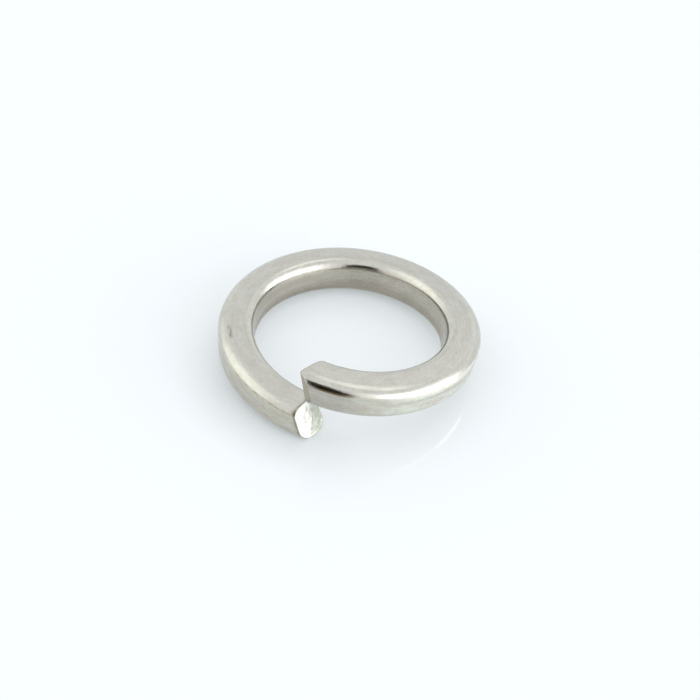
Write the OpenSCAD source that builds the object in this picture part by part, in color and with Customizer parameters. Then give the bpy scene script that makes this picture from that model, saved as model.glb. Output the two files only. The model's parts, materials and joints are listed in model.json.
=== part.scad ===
// Spring lock washer of square section, for a 12 mm screw.
// One turn of rounded square wire, coiled left-handed and cropped at a slant, so that a right-hand
// screw or nut turns over the ends freely when it is done up and is bitten by them when it slackens.
// Millimetres. The bore's axis is Z, the split faces -Y, and the lowest edge lies on Z = 0.

/* [Ring] */
// Bore, clear of the screw's shank
bore_d = 12.7; // [6:0.1:40]
// Radial width of the wire's section
section_w = 2.42; // [1.2:0.02:6]
// Axial thickness of the wire's section
section_t = 2.52; // [1.2:0.02:6]
// Radius of the section's rolled corners
edge_r = 0.66; // [0.1:0.01:1.2]
// Axial half axis of the outer upper corner, which is drawn down further than the others
crown_rz = 0.84; // [0.1:0.01:1.2]

/* [Spring] */
// Rise of the coil in one full turn, in the free state
coil_rise = 2.97; // [2.6:0.01:8]
// Extra height that the upper tip springs up by
tip_lift = 0.08; // [0:0.01:0.4]
// Arc over which the upper tip springs up, in degrees
tip_arc = 34; // [10:1:90]

/* [Cropped ends] */
// How far the upper end passes over the lower one, seen from above
end_lap = 0.16; // [-2:0.01:0.3]
// Turn of the lower cut from the radial line, in degrees
low_skew = 22.5; // [-30:0.5:30]
// Slant of the lower cut from the bore's axis, in degrees
low_slant = 19; // [-30:0.5:30]
// Turn of the upper cut from the radial line, in degrees
high_skew = 26.5; // [-30:0.5:30]
// Slant of the upper cut from the bore's axis, in degrees
high_slant = 15.5; // [-30:0.5:30]
// Share of the width that the blade shears bright before the metal tears
shear_share = 0.46; // [0.2:0.01:0.8]
// Depth that the torn zone falls back behind the sheared one
tear_depth = 0.12; // [0:0.01:0.3]
// Length of the flat that the blade drags on the upper end's outer wall
drag_len = 0.58; // [0.1:0.01:1.2]
// Depth of that flat at the cut
drag_depth = 0.30; // [0:0.01:0.4]
// Radius of the rolled edge where the lower end's outer wall meets its cut
roll_r = 0.12; // [0.05:0.01:0.3]

/* [Fineness] */
// Sweep stations in one turn
turn_steps = 96; // [48:12:120]
// Facets in each rolled corner
corner_steps = 6; // [3:1:8]

/* [Hidden] */

steel = [0.765, 0.762, 0.735];
bore_r = bore_d/2;
outer_r = bore_r + section_w;
mean_r = bore_r + section_w/2;
corner_r = min(edge_r, 0.46*min(section_w, section_t));
crown_z = min(crown_rz, 0.46*section_t);
outline_n = 4*(corner_steps + 1);
end_steps = 4;                       // stations over each dragged or rolled edge
face_rings = 4;                      // rings of facets across each cut face
// the swept walls stand this much proud, and are then turned true by two cylinders
skin = 2.4*outer_r*(1 - cos(180/turn_steps)) + 0.004;
turn_deg = 360 + end_lap/mean_r*180/PI;
turn_len = turn_deg*PI/180*mean_r;
clear_h = 2*(coil_rise + tip_lift + section_t);

// One point of the section's outline, as [radial, axial] from its centre, anticlockwise from outside,
// where the outer wall is pressed flat at a radial limit
function outline_pt(i, limit) =
    let (q = floor(i/(corner_steps + 1)),
         side = (q == 0 || q == 3) ? 1 : -1,
         top = q < 2 ? 1 : -1,
         rz = q == 0 ? crown_z : corner_r,
         mid = section_w/2 + skin - corner_r,
         start = acos(min(1, (limit - mid)/corner_r)),
         a0 = q == 0 ? start : 90*q,
         a1 = q == 3 ? 360 - start : 90*(q + 1),
         a = a0 + (a1 - a0)*(i % (corner_steps + 1))/corner_steps)
    [side*mid + corner_r*cos(a), top*(section_t/2 - rz) + rz*sin(a)];

function clamp01(x) = min(1, max(0, x));
function smooth(x) = let (c = clamp01(x)) c*c*(3 - 2*c);

// How far round the coil a cut passes through a point of the section, in degrees from its centre.
// The blade enters at the outer wall; past the sheared zone the torn metal falls back into the wire.
function cut_deg(p, skew, slant, into) =
    let (depth = (section_w/2 - p[0])/section_w,
         torn = tear_depth*smooth((depth - shear_share)/(1.02 - shear_share)),
         along = p[0]*tan(skew) + p[1]*tan(slant) + into*torn)
    asin(along/(mean_r + p[0]));

// Height of the section's centre above the lower end's
function coil_z(deg) =
    coil_rise*deg/360 + tip_lift*pow(clamp01(1 - (turn_deg - deg)/tip_arc), 2);

// Share of the outer rolled corner that a point has gone round: 1 on the outer wall, 0 on the seats
function outer_share(p) = smooth((p[0] - section_w/2 + corner_r)/corner_r);

// Radial limit of the outer wall at an arc length from the upper cut: the flat rises to the full width
function wall_limit(from_high) =
    from_high < drag_len ? section_w/2 - drag_depth*(1 - from_high/drag_len) : section_w/2 + skin;

// Depth of the rolled edge at an arc length from the lower cut
function roll_pull(from_low) =
    from_low < roll_r ? roll_r - sqrt(max(0, roll_r*roll_r - pow(roll_r - from_low, 2))) : 0;

// The section at the share f of the turn
function section_at(f) =
    let (limit = wall_limit((1 - f)*turn_len), pull = roll_pull(f*turn_len))
    [for (i = [0:outline_n - 1])
        let (p = outline_pt(i, limit)) [p[0] - outer_share(p)*pull, p[1]]];

// A point of the sweep, for the section point p at the share f of the turn
function swept(p, f) =
    let (deg = (1 - f)*cut_deg(p, low_skew, low_slant, 1)
             + f*(turn_deg + cut_deg(p, high_skew, high_slant, -1)),
         r = mean_r + p[0])
    [-r*sin(deg), -r*cos(deg), p[1] + coil_z(deg)];

// Shares of the turn at which sections stand: close together over the cropped edges
low_edge = roll_r/turn_len;
high_edge = drag_len/turn_len;
stations = concat(
    [for (k = [0:end_steps - 1]) low_edge*pow(k/end_steps, 2)],
    [for (k = [0:turn_steps]) low_edge + (1 - low_edge - high_edge)*k/turn_steps],
    [for (k = [1:end_steps]) 1 - high_edge*(1 - k/end_steps)]);

// Faces between two rings of n points that start at a and b
function band(a, b, n) =
    [for (i = [0:n - 1]) each
        [[a + i, b + i, b + (i + 1) % n], [a + i, b + (i + 1) % n, a + (i + 1) % n]]];

module swept_wire() {
    n = outline_n;
    walls = len(stations);
    function ring(f, k) = [for (p = section_at(f)) swept(p*(1 - k/face_rings), f)];
    // rings: the lower cut face from its centre out, the walls, the upper cut face to its centre
    points = concat(
        [swept([0, 0], 0)],
        [for (k = [face_rings - 1:-1:1]) each ring(0, k)],
        [for (f = stations) each ring(f, 0)],
        [for (k = [1:face_rings - 1]) each ring(1, k)],
        [swept([0, 0], 1)]);
    rings = walls + 2*(face_rings - 1);
    last = len(points) - 1;
    faces = concat(
        [for (i = [0:n - 1]) [0, 1 + i, 1 + (i + 1) % n]],
        [for (s = [0:rings - 2]) each band(1 + s*n, 1 + (s + 1)*n, n)],
        [for (i = [0:n - 1]) [last, last - n + (i + 1) % n, last - n + i]]);
    lowest = min([for (p = points) p[2]]);
    translate([0, 0, -lowest]) polyhedron(points, faces, convexity = 6);
}

// The washer: the swept wire, with its bore and its outer wall turned true
module spring_washer() {
    color(steel)
    difference() {
        intersection() {
            swept_wire();
            translate([0, 0, -clear_h/4]) cylinder(r = outer_r, h = clear_h, $fn = 96);
        }
        translate([0, 0, -clear_h/2]) cylinder(r = bore_r, h = 2*clear_h, $fn = 96);
    }
}

spring_washer();
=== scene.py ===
"""Spring lock washer for a 12 mm screw: the visual model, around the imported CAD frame.

One turn of rounded square stainless wire, coiled left-handed and cropped at a slant. The fine mesh
repeats the sweep of the part's source, in millimetres, and is scaled to metres at the end. Points
of the section are (radial, axial) from its centre, and the share f of the turn runs from 0 at the
lower cut to 1 at the upper one.
"""
import json
import math

import bpy
import numpy as np
from mathutils import Matrix, Vector, noise


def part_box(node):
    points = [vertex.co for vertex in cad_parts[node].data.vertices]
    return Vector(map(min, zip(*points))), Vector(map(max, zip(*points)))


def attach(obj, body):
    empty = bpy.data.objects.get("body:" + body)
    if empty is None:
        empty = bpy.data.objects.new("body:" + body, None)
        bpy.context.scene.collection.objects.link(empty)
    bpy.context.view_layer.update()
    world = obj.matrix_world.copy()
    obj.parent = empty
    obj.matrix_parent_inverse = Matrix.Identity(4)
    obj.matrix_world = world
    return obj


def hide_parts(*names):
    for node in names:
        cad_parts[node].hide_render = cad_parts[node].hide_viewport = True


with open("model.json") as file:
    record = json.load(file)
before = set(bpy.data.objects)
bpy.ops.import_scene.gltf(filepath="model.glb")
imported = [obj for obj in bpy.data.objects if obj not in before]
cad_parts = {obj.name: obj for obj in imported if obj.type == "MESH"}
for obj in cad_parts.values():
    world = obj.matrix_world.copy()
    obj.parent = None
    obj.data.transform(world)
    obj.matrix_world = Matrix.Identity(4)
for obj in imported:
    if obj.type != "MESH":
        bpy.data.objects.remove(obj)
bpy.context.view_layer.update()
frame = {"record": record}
NODE = "spring_washer"
MM = 0.001

# ---------------------------------------------------------------- sizes, in millimetres
BORE_R = frame["record"]["mounts"][0]["dims"]["r_mm"]
OUTER_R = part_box(NODE)[1].x / MM
SECTION_W = OUTER_R - BORE_R
SECTION_T = 2.52
MEAN_R = BORE_R + SECTION_W / 2
# rolled corners, as (radial, axial) half axes: outside top, inside top, inside foot, outside foot
CORNERS = ((0.85, 0.68), (0.66, 0.70), (0.66, 0.66), (0.66, 0.66))
# the inside upper corner is drawn down further over part of the turn: by how much, and where along
# the wire it comes in, is whole from and to, and is gone again
DRAWN_DEPTH, DRAWN_SPAN = 0.34, (9, 15, 18.5, 22.5)
# the section leans, outer side down
LEAN = math.radians(7.5)
COIL_RISE = 2.97
# the upper tip springs up further, over the last stretch of the turn
TIP_LIFT, TIP_ARC = 0.08, math.radians(34)
END_LAP = 0.25
TURN = 2 * math.pi + END_LAP / MEAN_R
WIRE_LENGTH = TURN * MEAN_R

# turn from the radial line and slant from the axis, of the lower and the upper cut
LOW_SKEW, LOW_SLANT = math.tan(math.radians(19.6)), math.tan(math.radians(21.55))
HIGH_SKEW, HIGH_SLANT = math.tan(math.radians(28.2)), math.tan(math.radians(10.4))
# the lower cut lies this far on, bulges a little across the width and is twisted
LOW_AT, LOW_BULGE, LOW_TWIST = -0.064, 0.14, -0.097
# share of the width that the blade sheared, how far the torn metal falls back, and by which share
SHEAR_SHARE, TEAR_DEPTH, TEAR_END = 0.46, 0.12, 1.02
# the border between the two slopes and wanders, as (size, frequency) of each wave, and is this soft
BORDER_SLOPE, BORDER_WAVES, BORDER_SOFT = 0.14, ((0.06, 2.2), (0.08, 5.3)), 0.10
# relief of the broken metal: rough waves, a step, pits of a depth above a threshold
BREAK_WAVES, BREAK_STEP = ((0.030, 3.2), (0.022, 8.0), (0.012, 17.0)), 0.030
PIT_DEPTH, PIT_FROM, PIT_GRAIN = 0.16, 0.28, 3.4
# lines that the blade drew down the sheared metal
DRAWN_RELIEF, DRAWN_GRAIN = 0.004, (0.8, 14.0)
# planes of the noise in which the faces, the pits and the drawn lines lie, and where they start
FACE_PLANE, HIGH_FACE_X, PIT_PLANE, PIT_X, DRAWN_PLANE = 3.7, 9, 8.2, 5, 1.0
# pitted strip of the sheared metal: how far before the border and how wide, as shares of the width,
# and how high on the face and how tall
STRIP_BACK, STRIP_WIDTH, STRIP_UP, STRIP_TALL = 0.11, 0.12, 0.3, 0.65

# the flat that the blade dragged on the upper end: where it starts past a full turn, how deep it
# goes in a length, how much later it starts at the top than at the middle, and its longest reach
DRAG_AT, DRAG_SLOPE, DRAG_TURN, DRAG_REACH = 0.03, 0.63, 0.237, 1.3
DRAG_PASSES, DRAG_SOFT = 8, 0.01
# rolled edge of the lower cut: its radius, the shares of it that are everywhere, grow outwards and
# are at the corners, how much of the last an inner corner has, and its reach in radii
ROLL_R, ROLL_SHARES, ROLL_INSIDE, ROLL_REACH = 0.026, (0.35, 0.33, 0.42), 0.3, 1.45
# broken edge of the upper cut
EDGE_BREAK, EDGE_DEPTH = 0.03, 0.7
# darkening in the lower end's edge: its least share, its peak about a direction and that
# peak's spread in degrees, and its least width on the wall and how that grows; the upper end's
# share and width; and the width on the cut faces
EDGE_DARK_LEAST, EDGE_DARK_PEAK, EDGE_DARK_AT, EDGE_DARK_SPREAD = 0.48, 0.52, 30, 44
LOW_EDGE_DARK_W, LOW_EDGE_DARK_MORE, HIGH_EDGE_DARK, HIGH_EDGE_DARK_W, FACE_EDGE_DARK_W = 0.04, 0.12, 0.6, 0.05, 0.04

# fineness of the mesh: stations over the first edge, the turn and the last edge, and their
# crowding; steps in a corner and in a flat; rings of a cut face, and those over which its relief
# comes in
FIRST_STATIONS, STATIONS, LAST_STATIONS = 10, 600, 60
FIRST_CROWDING, LAST_CROWDING = 1.7, 1.15
CORNER_STEPS, FLAT_STEPS, FACE_RINGS, RELIEF_RINGS = 20, 8, 26, 3
BLOCK = CORNER_STEPS + FLAT_STEPS
SHARP = math.radians(24)
# places of the two cut faces in the UV map, clear of the wire's wall
LOW_FACE_U, HIGH_FACE_U = -4, -8
# zones of the surface, each an attribute of the mesh, with its value at the centre of the cut faces
ZONES = {"cut_face": 1.0, "torn": 1.0, "strip": 0.0, "rolled": 0.0, "edge": 0.0, "drag": 0.0,
         "bore_wall": 0.0, "outer_wall": 0.0}
# how squarely a wall faces before it counts as bore or outer wall, and over what it comes in
WALL_FROM, WALL_SOFT = 0.80, 0.17
# search for the floor's tilt: first and last step, ways to go from each tilt, and least gain
TILT_STEP, TILT_CLOSE, TILT_WAYS, TILT_GAIN = 0.08, 1e-5, 16, 1e-9


# ---------------------------------------------------------------- the section
def clamp01(x):
    return np.clip(x, 0, 1)


def smooth(x):
    c = clamp01(x)
    return c * c * (3 - 2 * c)


def bell(x, width):
    return np.exp(-((x / width) ** 2))


def drawn_down(along):
    start, full, fade, end = DRAWN_SPAN
    come, gone = smooth((along - start) / (full - start)), smooth((end - along) / (end - fade))
    return DRAWN_DEPTH * float(come * gone)


def square_outline(f=0.0):
    """Points of the upright section at the share f of the turn, anticlockwise from outside."""
    hw, ht = SECTION_W / 2, SECTION_T / 2
    arcs = []
    quarter = math.pi / 2
    for q, (rx, rz) in enumerate(CORNERS):
        rz += drawn_down(f * WIRE_LENGTH) if q == 1 else 0
        side = 1 if q in (0, 3) else -1
        top = 1 if q < 2 else -1
        cx, cz = side * (hw - rx), top * (ht - rz)
        arcs.append([np.array([cx + rx * math.cos(t), cz + rz * math.sin(t)])
                     for t in np.linspace(quarter * q, quarter * (q + 1), CORNER_STEPS + 1)])
    pts = []
    for q in range(4):
        pts += arcs[q]
        start, end = arcs[q][-1], arcs[(q + 1) % 4][0]
        pts += [start + (end - start) * k / FLAT_STEPS for k in range(1, FLAT_STEPS)]
    return np.array(pts)


def leaned(p):
    c, s = math.cos(LEAN), math.sin(LEAN)
    return np.stack([c * p[:, 0] + s * p[:, 1], c * p[:, 1] - s * p[:, 0]], 1)


def outline_normals():
    """Outward directions of the whole section's points."""
    pts = leaned(square_outline())
    along = np.roll(pts, -1, 0) - np.roll(pts, 1, 0)
    nrm = np.stack([along[:, 1], -along[:, 0]], 1)
    return nrm / np.linalg.norm(nrm, axis=1)[:, None]


def around_of(outline):
    """Distance round the section of each of its points, and the whole girth."""
    steps = np.cumsum(np.linalg.norm(np.roll(outline, -1, 0) - outline, axis=1))
    return np.concatenate([[0], steps[:-1]]), float(steps[-1])


NORMALS = outline_normals()
AROUND, GIRTH = around_of(square_outline())
# where the bore's wall starts under the inside crown, and where it ends at the foot
BORE_TOP, BORE_FOOT = float(AROUND[BLOCK + CORNER_STEPS]), float(AROUND[2 * BLOCK])


# ---------------------------------------------------------------- the sweep
def depth_of(p):
    """Share of the width that lies outside points p of the section."""
    return (SECTION_W / 2 - p[:, 0]) / SECTION_W


def cut_angle(p, high, inset=0.0):
    """Angle round the coil, from the end's own station, at which a cut passes through points p."""
    torn = TEAR_DEPTH * smooth((depth_of(p) - SHEAR_SHARE) / (TEAR_END - SHEAR_SHARE)) + inset
    if high:
        along = p[:, 0] * HIGH_SKEW + p[:, 1] * HIGH_SLANT - torn
    else:
        along = LOW_AT + p[:, 0] * LOW_SKEW + p[:, 1] * LOW_SLANT + torn
        along = along + LOW_BULGE * p[:, 0] ** 2 + LOW_TWIST * p[:, 0] * p[:, 1]
    return np.arcsin(along / (MEAN_R + p[:, 0]))


def coil_z(angle):
    """Height of the section's centre above the lower end's."""
    lift = clamp01(1 - (TURN - angle) / TIP_ARC) ** 2
    return COIL_RISE * angle / (2 * math.pi) + TIP_LIFT * lift


def swept_angle(p, f, inset=0.0):
    return (1 - f) * cut_angle(p, False, inset) + f * (TURN + cut_angle(p, True, inset))


def swept(p, f, inset=0.0):
    """Points of the sweep for section points p at the share f of the turn."""
    angle = swept_angle(p, f, inset)
    r = MEAN_R + p[:, 0]
    return np.stack([-r * np.sin(angle), -r * np.cos(angle), p[:, 1] + coil_z(angle)], 1)


def roll_radius():
    """Radius to which the blade rolled the lower end's edge: most outside and at the corners."""
    out = NORMALS[:, 0]
    corner = np.abs(2 * out * NORMALS[:, 1]) * np.where(out > 0, 1.0, ROLL_INSIDE)
    everywhere, outwards, at_corner = ROLL_SHARES
    return ROLL_R * (everywhere + outwards * (1 + out) + at_corner * corner)


def dragged_section(f):
    """The section at the share f of the turn with the dragged flat, and where that flat is."""
    whole = square_outline(f)
    p = whole.copy()
    limit = np.full(len(p), SECTION_W)
    if (1 - f) * WIRE_LENGTH < DRAG_REACH:
        # the flat's depth and its place along the wire depend on each other, and settle soon
        for _ in range(DRAG_PASSES):
            along = (swept_angle(leaned(p), f) - 2 * math.pi) * OUTER_R
            past = along - DRAG_AT - DRAG_TURN * whole[:, 1]
            limit = SECTION_W / 2 - DRAG_SLOPE * np.maximum(0, past)
            p[:, 0] = (p[:, 0] + np.minimum(whole[:, 0], limit)) / 2
        p[:, 0] = np.minimum(whole[:, 0], limit)
    return leaned(p), smooth((whole[:, 0] - limit) / DRAG_SOFT)


def rounded_off(radius, past):
    """How far an edge of a radius has come in where points lie past its start."""
    return radius - np.sqrt(np.maximum(0, radius ** 2 - past ** 2))


def section_at(f):
    """The section at the share f of the turn, with its dragged flat and its rolled edge."""
    from_low, from_high = f * WIRE_LENGTH, (1 - f) * WIRE_LENGTH
    roll = roll_radius()
    p = dragged_section(f)[0]
    p = p - NORMALS * rounded_off(roll, np.maximum(0, roll - from_low))[:, None]
    return p - NORMALS * rounded_off(EDGE_BREAK, max(0, EDGE_BREAK - from_high)) * EDGE_DEPTH


def station_shares():
    """Shares of the turn at which sections stand, crowded at both cuts."""
    low, high = ROLL_REACH * ROLL_R / WIRE_LENGTH, DRAG_REACH / WIRE_LENGTH
    first = [low * (k / FIRST_STATIONS) ** FIRST_CROWDING for k in range(FIRST_STATIONS)]
    middle = [low + (1 - low - high) * k / STATIONS for k in range(STATIONS + 1)]
    last = [1 - high * (1 - k / LAST_STATIONS) ** LAST_CROWDING
            for k in range(1, LAST_STATIONS + 1)]
    return first + middle + last


# ---------------------------------------------------------------- the cut faces
def waves(at, sizes):
    return sum(size * noise.noise(at * frequency) for size, frequency in sizes)


def face_points(q, high):
    """For each point q of a cut face: its place, its place in the noise, and how far past the
    border of the sheared zone it lies, as a share of the width."""
    for (x, z), depth in zip(q, depth_of(q)):
        at = Vector((x + (HIGH_FACE_X if high else 0), z, FACE_PLANE))
        yield x, z, at, depth - SHEAR_SHARE - BORDER_SLOPE * z - waves(at, BORDER_WAVES)


def torn_relief(q, high):
    """Depth by which the broken metal lies behind the plain cut, at points q of a cut face."""
    out = []
    for x, z, at, past in face_points(q, high):
        torn = float(smooth(past / BORDER_SOFT))
        pit = noise.noise(Vector((x * PIT_GRAIN + PIT_X, z * PIT_GRAIN, PIT_PLANE))) - PIT_FROM
        broken = waves(at, BREAK_WAVES) + BREAK_STEP + PIT_DEPTH * max(0.0, pit)
        line = Vector((x * DRAWN_GRAIN[0], z * DRAWN_GRAIN[1], DRAWN_PLANE))
        drawn = DRAWN_RELIEF * noise.noise(line)
        out.append(torn * broken + (1 - torn) * drawn)
    return np.array(out)


def torn_zone(q, high):
    """1 where the metal broke and 0 where it was sheared, and the pitted strip between them."""
    torn, strip = [], []
    for _, z, _, past in face_points(q, high):
        torn.append(float(smooth(past / BORDER_SOFT)))
        strip.append(bell(past + STRIP_BACK, STRIP_WIDTH) * bell(z - STRIP_UP, STRIP_TALL))
    return np.array(torn), np.array(strip)


def edge_dark_share():
    """How much the lower end's edge is darkened: most on the outer wall and its upper corner."""
    turned = np.degrees(np.arctan2(NORMALS[:, 1], NORMALS[:, 0]))
    return EDGE_DARK_LEAST + EDGE_DARK_PEAK * bell(turned - EDGE_DARK_AT, EDGE_DARK_SPREAD)


# ---------------------------------------------------------------- the mesh
def wire_rings():
    """Rings of points from the lower cut face to the upper one, with their UVs and zones."""
    n = len(NORMALS)
    rings, uvs, zones = [], [], {name: [] for name in ZONES}
    edge_dark = edge_dark_share()
    bore_wall = smooth((-NORMALS[:, 0] - WALL_FROM) / WALL_SOFT)
    outer_wall = smooth((NORMALS[:, 0] - WALL_FROM) / WALL_SOFT)
    in_corner = np.zeros(n)
    for q in range(4):
        k = np.arange(CORNER_STEPS + 1)
        in_corner[q * BLOCK + k] = np.sin(np.pi * k / CORNER_STEPS) ** 0.5

    def add(points, uv, **values):
        rings.append(points)
        uvs.append(uv)
        for name, store in zones.items():
            store.append(np.broadcast_to(values.get(name, 0.0), (n,)))

    def add_face(f, u, order):
        """Rings of one cut face, between its border and its centre."""
        high = f > 0.5
        rim = section_at(f)
        for k in order:
            q = rim * (1 - k / FACE_RINGS)
            torn, strip = torn_zone(q, high)
            border = bell(np.linalg.norm(rim - q, axis=1), FACE_EDGE_DARK_W)
            border = border * (HIGH_EDGE_DARK if high else edge_dark)
            # the relief comes in over the first rings, so that the rim stays sharp
            relief = min(1.0, k / RELIEF_RINGS) * torn_relief(q, high)
            add(swept(q, f, relief), q + [u, 0], cut_face=1.0, torn=torn, strip=strip, edge=border)

    add_face(0, LOW_FACE_U, range(FACE_RINGS - 1, -1, -1))
    for f in station_shares()[1:-1]:
        from_low, from_high = f * WIRE_LENGTH, (1 - f) * WIRE_LENGTH
        near_low = edge_dark * bell(from_low, LOW_EDGE_DARK_W + LOW_EDGE_DARK_MORE * edge_dark ** 2)
        near_high = HIGH_EDGE_DARK * bell(from_high, HIGH_EDGE_DARK_W)
        dragged = dragged_section(f)[1]
        add(swept(section_at(f), f), np.stack([np.full(n, from_low), AROUND], 1),
            rolled=in_corner * (1 - dragged), edge=np.maximum(near_low, near_high), drag=dragged,
            bore_wall=bore_wall, outer_wall=outer_wall)
    add_face(1, HIGH_FACE_U, range(FACE_RINGS))
    return rings, uvs, zones


def ring_faces(count, n):
    """Faces over count rings of n points, the first at point 1, with a centre before and after."""
    last = count * n + 1
    faces = [(0, 1 + (i + 1) % n, 1 + i) for i in range(n)]
    for a in range(1, last - n, n):
        faces += [(a + i, a + (i + 1) % n, a + n + (i + 1) % n, a + n + i) for i in range(n)]
    return faces + [(last, last - n + i, last - n + (i + 1) % n) for i in range(n)]


def map_wire(mesh, uvs):
    """UV map: length along the wire and round its section, in millimetres."""
    point_uv = np.concatenate([[[LOW_FACE_U, 0]]] + uvs + [[[HIGH_FACE_U, 0]]])
    loop_points = np.zeros(len(mesh.loops), np.int32)
    mesh.loops.foreach_get("vertex_index", loop_points)
    coords = point_uv[loop_points]
    # the last quad of each ring closes the seam round the section
    for face in mesh.polygons:
        if face.loop_total == 4:
            quad = coords[face.loop_start:face.loop_start + 4]
            if quad[0, 0] >= 0 and np.ptp(quad[:, 1]) > GIRTH / 2:
                quad[quad[:, 1] < GIRTH / 2, 1] += GIRTH
    layer = mesh.uv_layers.new(name="wire")
    layer.data.foreach_set("uv", coords.astype(np.float32).ravel())


def build_washer():
    rings, uvs, zones = wire_rings()
    centre = np.zeros((1, 2))
    verts = np.concatenate([swept(centre, 0, torn_relief(centre, False))] + rings
                           + [swept(centre, 1, torn_relief(centre, True))])
    verts[:, 2] -= verts[:, 2].min()
    mesh = bpy.data.meshes.new("washer_wire")
    mesh.from_pydata([tuple(v) for v in verts * MM], [], ring_faces(len(rings), len(NORMALS)))
    for name, at_centre in ZONES.items():
        values = np.concatenate([[at_centre]] + zones[name] + [[at_centre]])
        attribute = mesh.attributes.new(name, "FLOAT", "POINT")
        attribute.data.foreach_set("value", values.astype(np.float32))
    map_wire(mesh, uvs)
    mesh.polygons.foreach_set("use_smooth", np.ones(len(mesh.polygons), bool))
    mesh.set_sharp_from_angle(angle=SHARP)
    mesh.update()
    obj = bpy.data.objects.new("washer_wire", mesh)
    bpy.context.scene.collection.objects.link(obj)
    return obj, verts


def resting_floor(verts):
    """Normal and foot of the floor on which the washer would come to rest, nearly level."""
    com = verts.mean(0)

    def height(ax, ay):
        nrm = np.array([ax, ay, 1.0])
        nrm /= np.linalg.norm(nrm)
        foot = (verts @ nrm).min()
        return com @ nrm - foot, nrm, foot

    # downhill from level to the tilt at which the centre of mass lies lowest
    best, step = (0.0, 0.0), TILT_STEP
    here = height(*best)[0]
    while step > TILT_CLOSE:
        moved = False
        for k in range(TILT_WAYS):
            a = 2 * math.pi * k / TILT_WAYS
            trial = (best[0] + step * math.cos(a), best[1] + step * math.sin(a))
            h = height(*trial)[0]
            if h < here - TILT_GAIN:
                best, here, moved = trial, h, True
        if not moved:
            step /= 2
    _, nrm, foot = height(*best)
    return Vector(nrm), foot


washer, washer_verts = build_washer()
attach(washer, "root")
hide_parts(NODE)


# ---------------------------------------------------------------- shader helpers
DEGREES = 180 / math.pi


class Graph:
    """Short hand for building one node tree."""

    def __init__(self, tree):
        self.tree = tree

    def node(self, kind, **props):
        n = self.tree.nodes.new(kind)
        for key, value in props.items():
            setattr(n, key, value)
        return n

    def put(self, socket, value):
        if isinstance(value, bpy.types.NodeSocket):
            self.tree.links.new(value, socket)
        else:
            socket.default_value = value

    def math(self, op, *values):
        n = self.node("ShaderNodeMath", operation=op)
        for socket, value in zip(n.inputs, values):
            self.put(socket, value)
        return n.outputs[0]

    def product(self, first, *others):
        for other in others:
            first = self.math("MULTIPLY", first, other)
        return first

    def total(self, first, *others):
        """Sum of values; a tuple of values stands for their product."""
        out = self.product(*first) if isinstance(first, tuple) else first
        for other in others:
            other = self.product(*other) if isinstance(other, tuple) else other
            out = self.math("ADD", out, other)
        return out

    def length(self, x, y):
        return self.math("SQRT", self.total((x, x), (y, y)))

    def angle(self, y, x):
        """Direction of (x, y) in degrees."""
        return self.product(self.math("ARCTAN2", y, x), DEGREES)

    def dot(self, v, axis):
        n = self.node("ShaderNodeVectorMath", operation="DOT_PRODUCT")
        self.put(n.inputs[0], v)
        n.inputs[1].default_value = axis
        return n.outputs["Value"]

    def ramp(self, value, start, end, low=0.0, high=1.0):
        """Smooth step from low at start to high at end."""
        n = self.node("ShaderNodeMapRange", interpolation_type="SMOOTHSTEP")
        for socket, v in zip(n.inputs, (value, start, end, low, high)):
            self.put(socket, v)
        return n.outputs[0]

    def span(self, value, start, full, fade, end):
        """1 between full and fade, falling to 0 at start and at end."""
        return self.product(self.ramp(value, start, full), self.ramp(value, end, fade))

    def scaled(self, colour, by):
        n = self.node("ShaderNodeVectorMath", operation="MULTIPLY")
        self.put(n.inputs[0], colour)
        n.inputs[1].default_value = by
        return n.outputs[0]

    def mix(self, factor, a, b):
        """Mix of two colours, whose sockets are the node's inputs 6 and 7 and its output 2."""
        n = self.node("ShaderNodeMix", data_type="RGBA")
        self.put(n.inputs[0], factor)
        for socket, value in ((n.inputs[6], a), (n.inputs[7], b)):
            self.put(socket, (*value, 1) if isinstance(value, tuple) else value)
        return n.outputs[2]

    def tinted(self, factor, colour, by):
        """The colour, scaled by a tint where the factor is 1."""
        return self.mix(factor, colour, self.scaled(colour, by))

    def between(self, factor, a, b):
        """Mix of two numbers."""
        n = self.node("ShaderNodeMix", data_type="FLOAT")
        for socket, value in zip((n.inputs[0], n.inputs[2], n.inputs[3]), (factor, a, b)):
            self.put(socket, value)
        return n.outputs[0]

    def blend(self, factor, a, b):
        """Mix of two shaders."""
        n = self.node("ShaderNodeMixShader")
        for socket, value in zip(n.inputs, (factor, a, b)):
            self.put(socket, value)
        return n.outputs[0]


# ---------------------------------------------------------------- the steel
# colours are linear, and tints scale the colour below them
STEEL_DULL, STEEL_PALE = (0.495, 0.485, 0.435), (0.615, 0.615, 0.575)
# the bore's wall: a browner tint that also darkens it as painted shade, and painted shade at its
# foot
BORE_TINT, BORE_FOOT_SHADE_TINT = (0.91, 0.865, 0.82), (0.74, 0.72, 0.69)
OUTER_BROWN, OUTER_PALE = (1.02, 0.95, 0.905), (1.09, 1.09, 1.03)
# painted highlight on the outer wall, and a stronger one in a strip under the crown
PAINTED_HIGHLIGHT_TINT, UNDER_CROWN_TINT = (1.27, 1.32, 1.34), (1.66, 1.68, 1.70)
# the first tint on the next line is a weaker painted highlight along a line lower on the outer wall
# the last tint on the next line is a brown painted dark reflection at the crown's lower border near
# the tip
LINE_TINT, TIP_TINT, DARK_REFLECTION_TINT = (1.10, 1.12, 1.12), (0.79, 0.785, 0.80), (0.34, 0.26, 0.17)
# the first tint on the next line is painted shade along a crease under the lower end's crown
CREASE_SHADE_TINT, RUB_TINT = (0.70, 0.68, 0.60), (0.58, 0.57, 0.56)
# the last colour on the next line darkens the edges of the two ends
STAINED, DRAGGED, EDGE_DARK = (0.30, 0.29, 0.24), (0.44, 0.42, 0.365), (0.115, 0.105, 0.035)
SHEARED, BROKEN_DULL, BROKEN_PALE = (1.0, 1.0, 0.98), (0.56, 0.58, 0.495), (0.70, 0.72, 0.64)
PITTED = (0.42, 0.41, 0.27)

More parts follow.
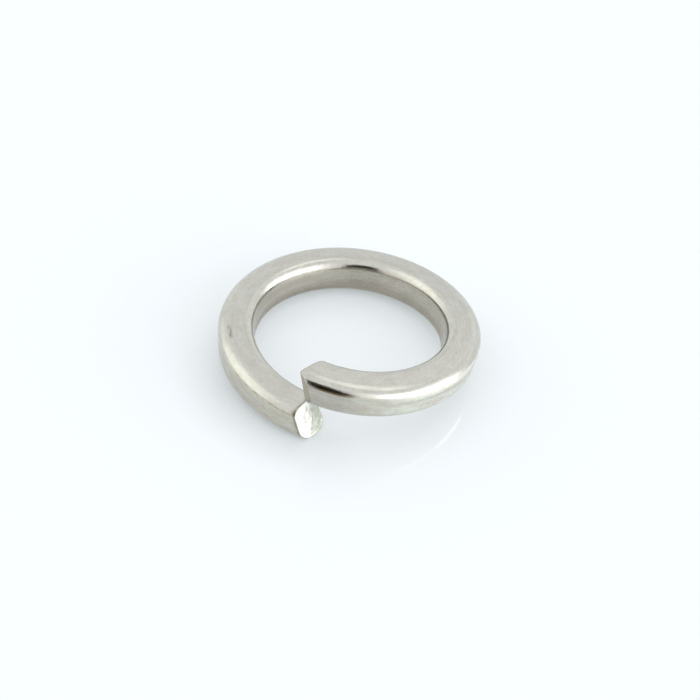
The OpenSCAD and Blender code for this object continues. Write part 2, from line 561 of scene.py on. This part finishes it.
# noise over the wire, as (per millimetre along it and round it, seed, detail, roughness), and for a
# pattern also between which values it rises from 0 to 1
FINE_NOISE, WANDER_NOISE = (14.0, 26.0, 5, 2, 0.6), (0.9, 0.1, 71, 3, 0.55)
PATTERNS = {
    "mottle": (0.9, 1.6, 3, 4, 0.6, 0.30, 0.70),
    "streaks": (0.6, 6.0, 11, 4, 0.6, 0.30, 0.70),
    "satin": (3.4, 4.8, 19, 3, 0.6, 0.30, 0.70),
    "patches": (0.9, 1.9, 51, 3, 0.6, 0.36, 0.64),
    "stain": (0.5, 2.2, 31, 3, 0.7, 0.66, 0.78),
    "crease_shade": (1.3, 0.5, 61, 2, 0.55, 0.30, 0.62),
    "rub": (2.0, 5.0, 67, 2, 0.55, 0.25, 0.60),
    "broken": (2.6, 2.6, 7, 3, 0.55, 0.35, 0.65),
    "pits": (2.7, 2.7, 41, 2, 0.55, 0.45, 0.57),
    "edge_dark": (1.7, 1.7, 23, 2, 0.55, 0.25, 0.55),
}
SEED_SKEW = 0.7
# shares of the patterns: mottle, streaks and satin in the colour; satin, streaks and fine noise in
# the relief; the stains' and the pits' strength; and the least and the most of the crease's painted
# shade and of the edges' darkening
CLOUD_SHARES, RELIEF_SHARES = (0.4, 0.25, 0.35), (0.5, 0.5, 0.25)
STAIN_SHARE, PIT_SHARE, CREASE_RANGE, EDGE_DARK_RANGE = 0.5, 0.9, (0.25, 1.0), (0.55, 0.95)

# spans in millimetres, where a feature comes in, is whole from and to, and is gone again (or, in a
# pair, comes in and is whole): along the wire from the lower cut, and round its section from the
# outer crown's lower border, anticlockwise
# where the painted shade on the bore's wall comes in round the section below the inside crown,
# whole at its foot
FOOT_SHADE_RAMP = (BORE_TOP + 0.35, BORE_FOOT + 0.15)
# where the painted highlight lies on the outer wall: along the wire, in a strip at the crown's
# lower border, and as a weaker line lower down
PAINTED_HIGHLIGHT_SPAN = (32, 38, 40.8, 44.1)
UNDER_CROWN, BELOW_BORDER, ABOVE_BORDER = (42.8, 39.5), (GIRTH - 0.13, GIRTH), (0.5, 0.2)
WEAKER_HIGHLIGHT_LINE = (GIRTH - 0.48, GIRTH - 0.40, GIRTH - 0.28, GIRTH - 0.20)
TIP = (43.6, 45.6)
# the brown painted dark reflection: along the wire and round the section
DARK_REFLECTION_ALONG, DARK_REFLECTION_ROUND = (44.0, 45.2, 46.2, 47.2), (0.05, 0.13, 0.26, 0.40)
# where the painted shade along the crease lies, and how it wanders
CREASE_ALONG, CREASE_ROUND, CREASE_WANDER = (0.0, 0.4, 2.5, 8), (0.04, 0.19, 0.21, 0.36), 0.16
RUB_ALONG, RUB_ROUND = (6.8, 7.5, 7.9, 8.6), (0.90, 1.08, 1.14, 1.34)
MATT_ALONG = (10.5, 12.5, 18, 21)
MATT_ROUND = (BORE_TOP - 0.42, BORE_TOP - 0.22, BORE_TOP + 0.2, BORE_TOP + 0.5)

# roughness of dull and of bright streaks, what rolled and matt places add to it, and that of the
# two zones of the cut faces
ROUGH_DULL, ROUGH_BRIGHT, ROUGH_ROLLED, ROUGH_MATT = 0.30, 0.23, -0.12, 0.24
ROUGH_SHEARED, ROUGH_BROKEN = 0.46, 0.50
GRAIN_DEPTH = 0.004 * MM

steel = bpy.data.materials.new("stainless_steel")
steel.use_nodes = True
g = Graph(steel.node_tree)
bsdf = steel.node_tree.nodes["Principled BSDF"]
wire = g.node("ShaderNodeUVMap", uv_map="wire").outputs["UV"]
wire_parts = g.node("ShaderNodeSeparateXYZ")
g.put(wire_parts.inputs[0], wire)
along_wire, round_wire = wire_parts.outputs[0], wire_parts.outputs[1]


def wire_noise(along, across, seed, detail, rough):
    place = g.node("ShaderNodeMapping")
    g.put(place.inputs["Vector"], wire)
    place.inputs["Scale"].default_value = (along, across, 1)
    place.inputs["Location"].default_value = (seed, seed * SEED_SKEW, seed)
    n = g.node("ShaderNodeTexNoise")
    g.put(n.inputs["Vector"], place.outputs[0])
    n.inputs["Scale"].default_value = 1
    n.inputs["Detail"].default_value = detail
    n.inputs["Roughness"].default_value = rough
    return n.outputs["Fac"]


def pattern(name, low=0.0, high=1.0):
    *sizes, start, end = PATTERNS[name]
    return g.ramp(wire_noise(*sizes), start, end, low, high)


zone = {name: g.node("ShaderNodeAttribute", attribute_name=name).outputs["Fac"] for name in ZONES}
mottle, streaks, satin = pattern("mottle"), pattern("streaks"), pattern("satin")
fine = wire_noise(*FINE_NOISE)
cloud = g.total(*zip((mottle, streaks, satin), CLOUD_SHARES))
colour = g.mix(cloud, STEEL_DULL, STEEL_PALE)

# the bore's wall is browner and a little darker, partly as painted shade, and painted shade darkens
# it further towards its foot
bore_colour = g.scaled(colour, BORE_TINT)
foot_shade = g.ramp(round_wire, *FOOT_SHADE_RAMP)
colour = g.mix(zone["bore_wall"], colour, g.tinted(foot_shade, bore_colour, BORE_FOOT_SHADE_TINT))

# the outer wall is patchy; on the far side of the free end it carries a painted highlight,
# strongest in a strip under the crown and weaker along a line lower on the wall; and it is duller
# at its tip
outer_colour = g.mix(pattern("patches"), g.scaled(colour, OUTER_BROWN),
                     g.scaled(colour, OUTER_PALE))
border = g.total(g.ramp(round_wire, *BELOW_BORDER), g.ramp(round_wire, *ABOVE_BORDER))
under_crown = g.product(border, g.ramp(along_wire, *UNDER_CROWN))
painted_highlight = g.mix(under_crown, g.scaled(outer_colour, PAINTED_HIGHLIGHT_TINT),
                  g.scaled(outer_colour, UNDER_CROWN_TINT))
painted_highlight = g.mix(g.span(round_wire, *WEAKER_HIGHLIGHT_LINE), painted_highlight, g.scaled(outer_colour, LINE_TINT))
outer_colour = g.mix(g.span(along_wire, *PAINTED_HIGHLIGHT_SPAN), outer_colour, painted_highlight)
outer_colour = g.tinted(g.ramp(along_wire, *TIP), outer_colour, TIP_TINT)
colour = g.mix(zone["outer_wall"], colour, outer_colour)

# the crown's lower border near the tip carries a brown painted dark reflection, which widens the
# dark band reflected there, and there are dull stains all over
dark_reflection = g.product(g.span(round_wire, *DARK_REFLECTION_ROUND), g.span(along_wire, *DARK_REFLECTION_ALONG))
colour = g.tinted(dark_reflection, colour, DARK_REFLECTION_TINT)
colour = g.mix(g.product(pattern("stain"), STAIN_SHARE), colour, STAINED)

# painted shade along a crease under the crown of the lower end, and a rubbed spot on its shoulder
wander = g.math("SUBTRACT", wire_noise(*WANDER_NOISE), 0.5)
wander = g.total(round_wire, (wander, CREASE_WANDER))
crease_shade = g.product(g.span(wander, *CREASE_ROUND), g.span(along_wire, *CREASE_ALONG),
                   pattern("crease_shade", *CREASE_RANGE))
colour = g.tinted(crease_shade, colour, CREASE_SHADE_TINT)
rub = g.product(g.span(along_wire, *RUB_ALONG), g.span(round_wire, *RUB_ROUND), pattern("rub"))
colour = g.tinted(rub, colour, RUB_TINT)

# the dragged flat, the two zones of the cut faces with the pitted strip, and darkening along the
# edges
colour = g.mix(zone["drag"], colour, DRAGGED)
fresh = g.mix(zone["torn"], SHEARED, g.mix(pattern("broken"), BROKEN_DULL, BROKEN_PALE))
pits = g.product(zone["strip"], pattern("pits"), PIT_SHARE)
colour = g.mix(zone["cut_face"], colour, g.mix(pits, fresh, PITTED))
edge_dark = g.product(zone["edge"], pattern("edge_dark", *EDGE_DARK_RANGE))
g.put(bsdf.inputs["Base Color"], g.mix(edge_dark, colour, EDGE_DARK))
bsdf.inputs["Metallic"].default_value = 1

# the rolled corners are smoother, but the inside crown's lower half is matt at the far left
matt = g.product(g.span(round_wire, *MATT_ROUND), g.span(along_wire, *MATT_ALONG))
roughness = g.total(g.ramp(streaks, 0, 1, ROUGH_DULL, ROUGH_BRIGHT),
                    (zone["rolled"], ROUGH_ROLLED), (matt, ROUGH_MATT))
cut_roughness = g.ramp(zone["torn"], 0, 1, ROUGH_SHEARED, ROUGH_BROKEN)
g.put(bsdf.inputs["Roughness"], g.between(zone["cut_face"], roughness, cut_roughness))

bump = g.node("ShaderNodeBump")
bump.inputs["Strength"].default_value = 1
bump.inputs["Distance"].default_value = GRAIN_DEPTH
g.put(bump.inputs["Height"], g.total(*zip((satin, streaks, fine), RELIEF_SHARES)))
g.put(bsdf.inputs["Normal"], bump.outputs[0])
washer.data.materials.append(steel)

# ---------------------------------------------------------------- the floor
FLOOR_HALF = 3.0
FLOOR_ROUGH, FLOOR_GLOW = 0.06, 0.36
FLOOR_COLOUR, FLOOR_SHADED = (0.825, 0.868, 0.90), (0.745, 0.782, 0.812)
GLOW_COLOUR, GLOW_SHADED = (0.895, 0.94, 0.972), (0.81, 0.852, 0.878)
# the line of light that the washer's outer wall throws on the floor: an arc in millimetres, with
# its bearings in degrees
THROWN_AT, THROWN_R, THROWN_COLOUR, THROWN_GLOW = (-0.70, -2.19), 9.71, (0.97, 1, 1), 0.85
THROWN_ACROSS, THROWN_BEARINGS = (-0.24, -0.02, -0.02, 0.18), (-27, -15, -7, 6)
# the floor's shade under the front left of the coil: distances from the bore's axis in millimetres,
# and bearings in degrees from the front
SHADE_AWAY, SHADE_BEARINGS = (6.6, 8.0, 8.6, 12.6), (-95, -40, -4, 34)

normal, foot = resting_floor(washer_verts)
floor_mesh = bpy.data.meshes.new("floor")
floor_mesh.from_pydata([(x * FLOOR_HALF, y * FLOOR_HALF, 0)
                        for x, y in ((-1, -1), (1, -1), (1, 1), (-1, 1))], [], [(0, 1, 2, 3)])
floor = bpy.data.objects.new("floor", floor_mesh)
bpy.context.scene.collection.objects.link(floor)
floor.matrix_world = (Matrix.Translation(normal * (foot * MM))
                      @ normal.to_track_quat("Z", "Y").to_matrix().to_4x4())

paper = bpy.data.materials.new("floor_gloss")
paper.use_nodes = True
g = Graph(paper.node_tree)
gloss = paper.node_tree.nodes["Principled BSDF"]
gloss.inputs["Roughness"].default_value = FLOOR_ROUGH
spot = g.node("ShaderNodeNewGeometry").outputs["Position"]
floor_x, floor_y = (g.product(g.dot(spot, axis), 1 / MM) for axis in ((1, 0, 0), (0, 1, 0)))
arc_x, arc_y = (g.math("SUBTRACT", place, centre)
                for place, centre in zip((floor_x, floor_y), THROWN_AT))
thrown = g.product(g.span(g.math("SUBTRACT", g.length(arc_x, arc_y), THROWN_R), *THROWN_ACROSS),
                   g.span(g.angle(arc_y, arc_x), *THROWN_BEARINGS))
shade = g.product(g.span(g.angle(floor_x, g.product(floor_y, -1)), *SHADE_BEARINGS),
                  g.span(g.length(floor_x, floor_y), *SHADE_AWAY))
g.put(gloss.inputs["Base Color"], g.mix(shade, FLOOR_COLOUR, FLOOR_SHADED))
glow = g.node("ShaderNodeEmission")
glow.inputs["Strength"].default_value = 1
g.put(glow.inputs["Color"], g.mix(thrown, g.mix(shade, GLOW_COLOUR, GLOW_SHADED), THROWN_COLOUR))
# part of the floor's own paleness is not light from the studio, so that shadows on it stay soft and
# clear, and only the camera and the reflections see it
path = g.node("ShaderNodeLightPath").outputs
seen = g.math("MAXIMUM", path["Is Camera Ray"],
              g.math("MAXIMUM", path["Is Glossy Ray"], path["Is Transmission Ray"]))
pale = g.blend(g.product(seen, g.ramp(thrown, 0, 1, FLOOR_GLOW, THROWN_GLOW)),
               gloss.outputs[0], glow.outputs[0])
# from below the floor is clear, so that the underside can be looked at
surface = g.blend(g.node("ShaderNodeNewGeometry").outputs["Backfacing"], pale,
                  g.node("ShaderNodeBsdfTransparent").outputs[0])
g.put(paper.node_tree.nodes["Material Output"].inputs["Surface"], surface)
floor_mesh.materials.append(paper)

# ---------------------------------------------------------------- camera
AZ, EL, ROLL = math.radians(11.93), math.radians(38.90), math.radians(10.07)
DISTANCE = 0.2016
LENS, SENSOR = 152.8, 36
CLIP_START, CLIP_END = 0.01, 20
# what it looks at, in metres: a point of the bore's axis, and from there right and up in the frame
TARGET, AIM_RIGHT, AIM_UP = Vector((0, 0, 0.00143)), 0.000269, 0.000044

right = Vector((math.cos(AZ), math.sin(AZ), 0))
front = Vector((math.sin(AZ), -math.cos(AZ), 0))
back = front * math.cos(EL) + Vector((0, 0, math.sin(EL)))
up = back.cross(right)
cam_right = right * math.cos(ROLL) + up * math.sin(ROLL)
cam_up = up * math.cos(ROLL) - right * math.sin(ROLL)
aim = TARGET + cam_right * AIM_RIGHT + cam_up * AIM_UP
cam_data = bpy.data.cameras.new("camera")
cam_data.sensor_width = SENSOR
cam_data.lens = LENS
cam_data.clip_start, cam_data.clip_end = CLIP_START, CLIP_END
cam = bpy.data.objects.new("camera", cam_data)
bpy.context.scene.collection.objects.link(cam)
cam.matrix_world = (Matrix.Translation(aim + back * DISTANCE)
                    @ Matrix((cam_right, cam_up, back)).transposed().to_4x4())
bpy.context.scene.camera = cam

# ---------------------------------------------------------------- studio
# A white light tent, a little duller at the back, with a round light near its top. Its boxes are
# (azimuths, elevations, colour), in degrees from the front and from the horizon, each as a span: a
# dim one at the left, a wide one at the right with a bright core, and a faint one behind.
TENT, TENT_BACK, TENT_BACK_FROM = (1.04, 1.05, 1.055), (0.96, 0.97, 0.975), (174, 150)
TOP_LIGHT, TOP_AT, TOP_INNER, TOP_RIM = (1.5, 1.5, 1.47), (120, 72), 8, 20
BOXES = (((-140, -95, -84, -30), (-10, 10, 48, 70), (1.59, 1.61, 1.52)),
         ((13, 34, 100, 130), (-60, -10, 36, 50), (1.5, 1.5, 1.5)),
         ((30, 54, 98, 116), (-60, -10, 20, 40), (3.2, 3.2, 3.2)),
         ((125, 145, 160, 174), (5, 20, 50, 70), (1.10, 1.11, 1.11)))
# the dark opening in front: its right edge draws in with the square of the elevation
OPENING, OPENING_LEFT, OPENING_ELEVATIONS = (0.022, 0.014, 0.003), (-31, -18), (-30, -16, 34, 46)
OPENING_RIGHT, OPENING_DRAWN_IN, OPENING_SOFT = 13.5, 0.0066, 5

world = bpy.data.worlds.new("studio")
bpy.context.scene.world = world
world.use_nodes = True
g = Graph(world.node_tree)
sky = g.node("ShaderNodeTexCoord").outputs["Generated"]
az = g.angle(g.dot(sky, right), g.dot(sky, front))
el = g.product(g.math("ARCSINE", g.dot(sky, (0, 0, 1))), DEGREES)


def top_patch():
    """Round light about a direction, full within the inner angle and faded out at its rim."""
    a, e = map(math.radians, TOP_AT)
    way = (front * math.cos(a) + right * math.sin(a)) * math.cos(e) + Vector((0, 0, math.sin(e)))
    rim, inner = (math.cos(math.radians(angle)) for angle in (TOP_RIM, TOP_INNER))
    return g.ramp(g.dot(sky, way), rim, inner)


light = g.mix(g.ramp(g.math("ABSOLUTE", az), *TENT_BACK_FROM), TENT_BACK, TENT)
light = g.mix(top_patch(), light, TOP_LIGHT)
for azimuths, elevations, box_colour in BOXES:
    light = g.mix(g.product(g.span(az, *azimuths), g.span(el, *elevations)), light, box_colour)
right_edge = g.math("SUBTRACT", OPENING_RIGHT, g.product(el, el, OPENING_DRAWN_IN))
past_edge = g.math("SUBTRACT", az, right_edge)
opening = g.product(g.ramp(az, *OPENING_LEFT), g.ramp(past_edge, OPENING_SOFT, -OPENING_SOFT),
                    g.span(el, *OPENING_ELEVATIONS))
light = g.mix(opening, light, OPENING)
g.put(world.node_tree.nodes["Background"].inputs["Color"], light)
bpy.context.scene.view_settings.view_transform = "Standard"
